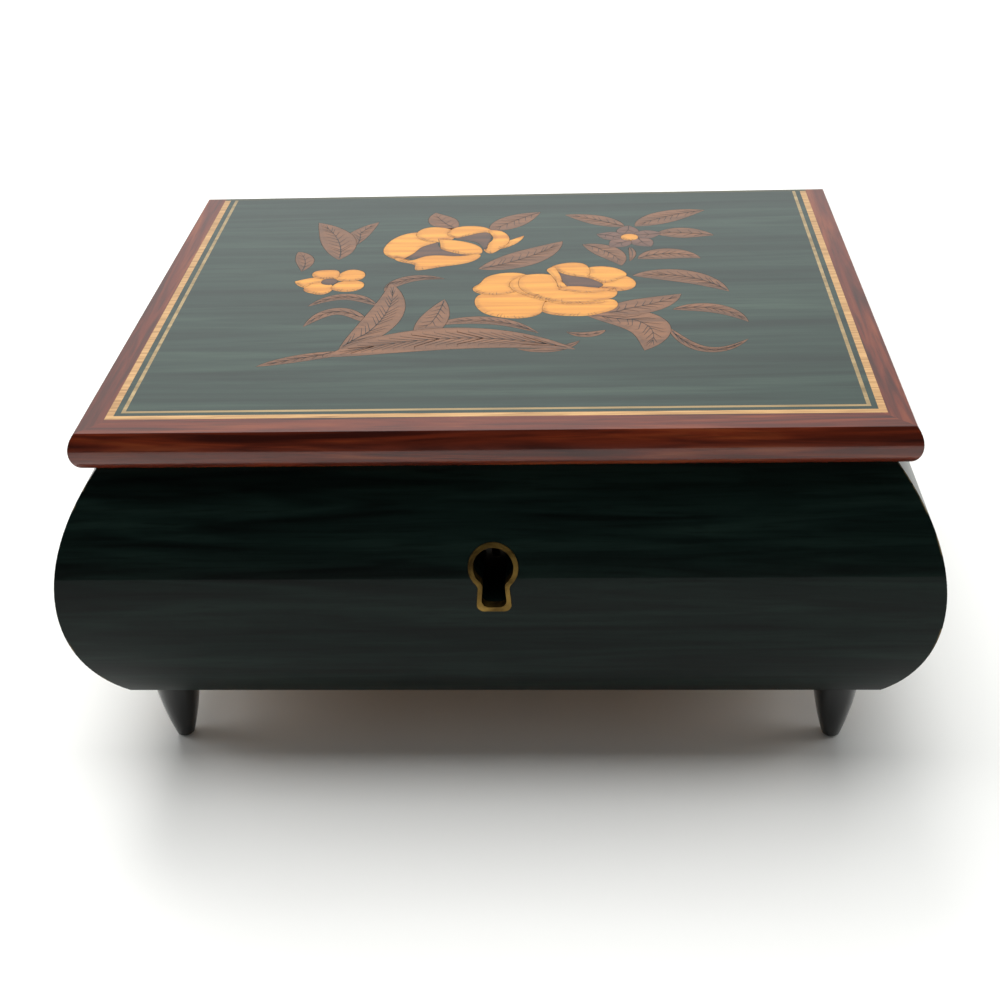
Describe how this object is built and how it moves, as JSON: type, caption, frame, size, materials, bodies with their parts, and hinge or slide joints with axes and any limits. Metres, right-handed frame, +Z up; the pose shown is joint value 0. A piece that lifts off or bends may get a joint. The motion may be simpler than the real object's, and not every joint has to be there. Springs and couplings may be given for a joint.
{
  "type": "wind-up music box",
  "caption": "Footed bow-sided wooden box with a hinged inlaid lid over lined bays and a key-wound musical movement.",
  "frame": {"origin": "on the surface the box stands on, under the middle of its outline", "axes": "+Z up, -Y towards the front with the keyhole, +X to the right seen from the front"},
  "size_m": [0.1788, 0.1491, 0.0827],
  "materials": {
    "green_lacquer": "high gloss dark green lacquer over wood",
    "black_lacquer": "high gloss black lacquer",
    "red_lacquer": "high gloss reddish brown lacquered wood",
    "olive_line": "gloss lacquered olive lipping",
    "green_veneer": "dyed green burr veneer under gloss lacquer",
    "cream_line": "pale boxwood under gloss lacquer",
    "pale_inlay": "yellow dyed maple inlay, edges shaded",
    "dark_inlay": "walnut inlay",
    "leaf_inlay": "brown walnut inlay",
    "star_inlay": "mauve brown inlay",
    "plywood": "plain wood",
    "velvet": "short pile velvet",
    "brass": "satin",
    "steel": "brushed",
    "cast_zinc": "cast zinc, plated",
    "clear_cover": "clear acrylic sheet",
    "fly_plastic": "moulded"
  },
  "bodies": {
    "root": {"base_panel": "plywood", "front_wall": "green_lacquer", "back_wall": "green_lacquer", "left_wall": "green_lacquer", "right_wall": "green_lacquer", "foot_front_left": "black_lacquer", "foot_front_right": "black_lacquer", "foot_back_left": "black_lacquer", "foot_back_right": "black_lacquer", "keyhole_escutcheon": "brass", "lock_case": "steel", "compartment_divider": "plywood", "movement_divider": "plywood", "cover_cleats": "plywood", "movement_cover": "clear_cover", "jewel_lining": "velvet", "ring_lining": "velvet", "hinge_leaf_lower_left": "brass", "hinge_leaf_lower_right": "brass", "hinge_pin_left": "brass", "hinge_pin_right": "brass", "hinge_screws_lower": "brass", "bedplate": "cast_zinc", "comb": "steel", "comb_screws": "steel", "governor_bracket": "steel", "movement_screws": "steel"},
    "lid": {"lid_core": "plywood", "lid_edge_front": "red_lacquer", "lid_edge_left": "red_lacquer", "lid_edge_right": "red_lacquer", "lid_edge_back": "olive_line", "lid_string_outer": "cream_line", "lid_string_inner": "cream_line", "lid_field": "green_veneer", "inlay_hearts": "dark_inlay", "inlay_rose": "pale_inlay", "inlay_second_rose": "pale_inlay", "inlay_small_flower": "pale_inlay", "inlay_star_flower": "star_inlay", "inlay_leaves": "leaf_inlay", "lid_lining": "velvet", "lid_link_plate": "brass", "hinge_leaf_upper_left": "brass", "hinge_leaf_upper_right": "brass", "hinge_screws_upper": "brass"},
    "key": {"winding_arbor": "steel", "winding_key": "steel"},
    "barrel": {"spring_barrel": "brass", "barrel_lid": "steel", "mainspring": "steel"},
    "cylinder": {"music_cylinder": "brass", "cylinder_pins": "steel", "cylinder_arbor": "brass"},
    "governor": {"governor_wheel": "brass"},
    "fly": {"governor_fly": "fly_plastic"},
    "bolt": {"lock_bolt": "steel"},
    "stop_rod": {"stop_rod": "steel"},
    "stop_lever": {"stop_lever": "steel"}
  },
  "joints": [
    {"name": "lid_hinge", "type": "hinge", "parent": "root", "child": "lid", "pos_m": [0, 0.0645, 0.0743], "axis": [-1, 0, 0], "range_deg": [0, 105]},
    {"name": "key_wind", "type": "hinge", "parent": "root", "child": "key", "pos_m": [-0.02665, 0.03705, 0.01], "axis": [0, 0, -1], "continuous": true},
    {"name": "barrel_spin", "type": "hinge", "parent": "root", "child": "barrel", "pos_m": [-0.02665, 0.03705, 0.0302], "axis": [0, 0, 1], "continuous": true},
    {"name": "cylinder_spin", "type": "hinge", "parent": "root", "child": "cylinder", "pos_m": [-0.0598, 0.03705, 0.0369], "axis": [1, 0, 0], "continuous": true},
    {"name": "governor_spin", "type": "hinge", "parent": "root", "child": "governor", "pos_m": [-0.06525, 0.0456, 0.0369], "axis": [1, 0, 0], "continuous": true},
    {"name": "fly_spin", "type": "hinge", "parent": "root", "child": "fly", "pos_m": [-0.06525, 0.0397, 0.0442], "axis": [0, 0, 1], "continuous": true},
    {"name": "bolt_slide", "type": "slide", "parent": "root", "child": "bolt", "axis": [1, 0, 0], "range_m": [0, 0.0028]},
    {"name": "stop_rod_slide", "type": "slide", "parent": "root", "child": "stop_rod", "axis": [0, 0, 1], "range_m": [0, 0.002]},
    {"name": "stop_lever_turn", "type": "hinge", "parent": "root", "child": "stop_lever", "pos_m": [-0.06615, 0.0472, 0.0458], "axis": [1, 0, 0], "range_deg": [0, 22]}
  ],
  "couplings": [
    {"joint": "cylinder_spin", "follows": "barrel_spin", "ratio": -2.4},
    {"joint": "governor_spin", "follows": "barrel_spin", "ratio": 7.2},
    {"joint": "fly_spin", "follows": "barrel_spin", "ratio": -57.6},
    {"joint": "stop_rod_slide", "follows": "lid_hinge", "m_per_rad": 0.00109},
    {"joint": "stop_lever_turn", "follows": "lid_hinge", "ratio": 0.207}
  ]
}
